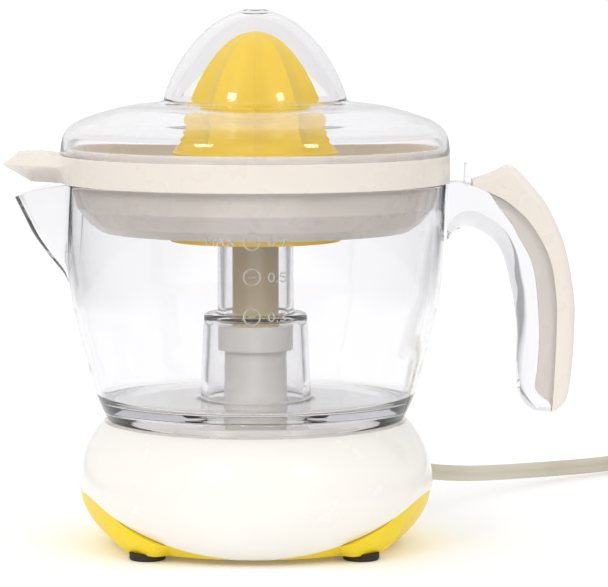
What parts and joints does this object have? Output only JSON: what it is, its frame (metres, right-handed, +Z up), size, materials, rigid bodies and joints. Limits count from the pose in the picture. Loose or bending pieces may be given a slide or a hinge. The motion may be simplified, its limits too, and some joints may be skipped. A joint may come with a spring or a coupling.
{
  "type": "citrus press juicer",
  "caption": "Electric citrus press: round motor base, clear jug with spout and open handle, strainer, ribbed reamer, domed lid and mains lead.",
  "frame": {"origin": "on the surface the juicer stands on, under the middle of its bounding box without the mains lead", "axes": "+Z up, -X towards the spout, +X towards the handle, -Y towards the viewer; the spindle's axis is 12.3 mm to -X"},
  "size_m": [0.3388, 0.2767, 0.1983],
  "materials": {
    "white_shell": "glossy moulded",
    "yellow_shell": "glossy moulded",
    "yellow_cone": "glossy moulded",
    "foot_rubber": "matt",
    "steel": "zinc plated",
    "nickel": "nickel plated",
    "grey_plastic": "moulded",
    "motor_steel": "pressed",
    "bobbin_plastic": "moulded",
    "copper": "enamelled wire",
    "bronze": "sintered",
    "black_plastic": "moulded",
    "wire_cover": "extruded",
    "magnet": "ferrite",
    "gear_plastic": "acetal",
    "tan_plastic": "moulded",
    "clear_plastic": "clear moulded",
    "ivory_plastic": "semi-gloss moulded",
    "cord_plastic": "extruded",
    "tie_plastic": "moulded"
  },
  "bodies": {
    "base": {"base_housing": "white_shell", "bottom_cover": "yellow_shell", "rubber_feet": "foot_rubber", "housing_screws": "steel", "gear_plate": "grey_plastic", "plate_screws": "steel", "gear_axle": "steel", "motor_stator": "motor_steel", "motor_screws": "steel", "coil_bobbin": "bobbin_plastic", "coil_winding": "copper", "rotor_bushes": "bronze", "spindle_bushes": "bronze", "micro_switch": "black_plastic", "switch_terminals": "nickel", "lead_wires": "wire_cover", "strain_relief": "cord_plastic", "power_cord": "cord_plastic", "cord_coil": "cord_plastic", "cord_tail": "cord_plastic", "cord_tie": "tie_plastic", "plug_body": "cord_plastic", "plug_blades": "nickel"},
    "thrust": {"thrust_pad": "gear_plastic", "return_spring": "steel"},
    "spindle": {"drive_spindle": "tan_plastic", "drip_collar": "white_shell", "output_gear": "gear_plastic", "spindle_clip": "steel"},
    "intermediate": {"intermediate_gear": "gear_plastic"},
    "rotor": {"motor_rotor": "magnet", "motor_shaft": "steel", "motor_pinion": "gear_plastic"},
    "button": {"switch_button": "black_plastic"},
    "jug": {"jug_bowl": "clear_plastic", "jug_handle": "clear_plastic", "handle_grip": "ivory_plastic"},
    "strainer": {"strainer_basket": "ivory_plastic", "pulp_screen": "yellow_cone"},
    "reamer": {"reamer": "yellow_cone"},
    "lid": {"lid": "clear_plastic"}
  },
  "joints": [
    {"name": "spindle_press", "type": "slide", "parent": "base", "child": "thrust", "axis": [0, 0, -1], "range_m": [0, 0.002], "stiffness_N_per_m": 700, "springref_m": -0.004, "deforming": ["return_spring"]},
    {"name": "spindle_spin", "type": "hinge", "parent": "thrust", "child": "spindle", "pos_m": [-0.0123, 0, 0], "axis": [0, 0, 1], "continuous": true},
    {"name": "intermediate_spin", "type": "hinge", "parent": "base", "child": "intermediate", "pos_m": [-0.03402, -0.01429, 0], "axis": [0, 0, 1], "continuous": true},
    {"name": "rotor_spin", "type": "hinge", "parent": "base", "child": "rotor", "pos_m": [-0.0453, 0, 0], "axis": [0, 0, 1], "continuous": true},
    {"name": "button_press", "type": "slide", "parent": "base", "child": "button", "axis": [0, 0, -1], "range_m": [0, 0.002]},
    {"name": "jug_lift", "type": "slide", "parent": "base", "child": "jug", "axis": [0, 0, 1], "range_m": [0, 0.125]},
    {"name": "strainer_lift", "type": "slide", "parent": "jug", "child": "strainer", "axis": [0, 0, 1], "range_m": [0, 0.05]},
    {"name": "reamer_spin", "type": "hinge", "parent": "strainer", "child": "reamer", "pos_m": [-0.0123, 0, 0], "axis": [0, 0, 1], "continuous": true},
    {"name": "lid_lift", "type": "slide", "parent": "strainer", "child": "lid", "axis": [0, 0, 1], "range_m": [0, 0.06]}
  ],
  "couplings": [
    {"joint": "spindle_spin", "follows": "rotor_spin", "ratio": 0.09},
    {"joint": "intermediate_spin", "follows": "rotor_spin", "ratio": -0.3},
    {"joint": "reamer_spin", "follows": "rotor_spin", "ratio": 0.09},
    {"joint": "button_press", "follows": "spindle_press", "ratio": 1}
  ]
}
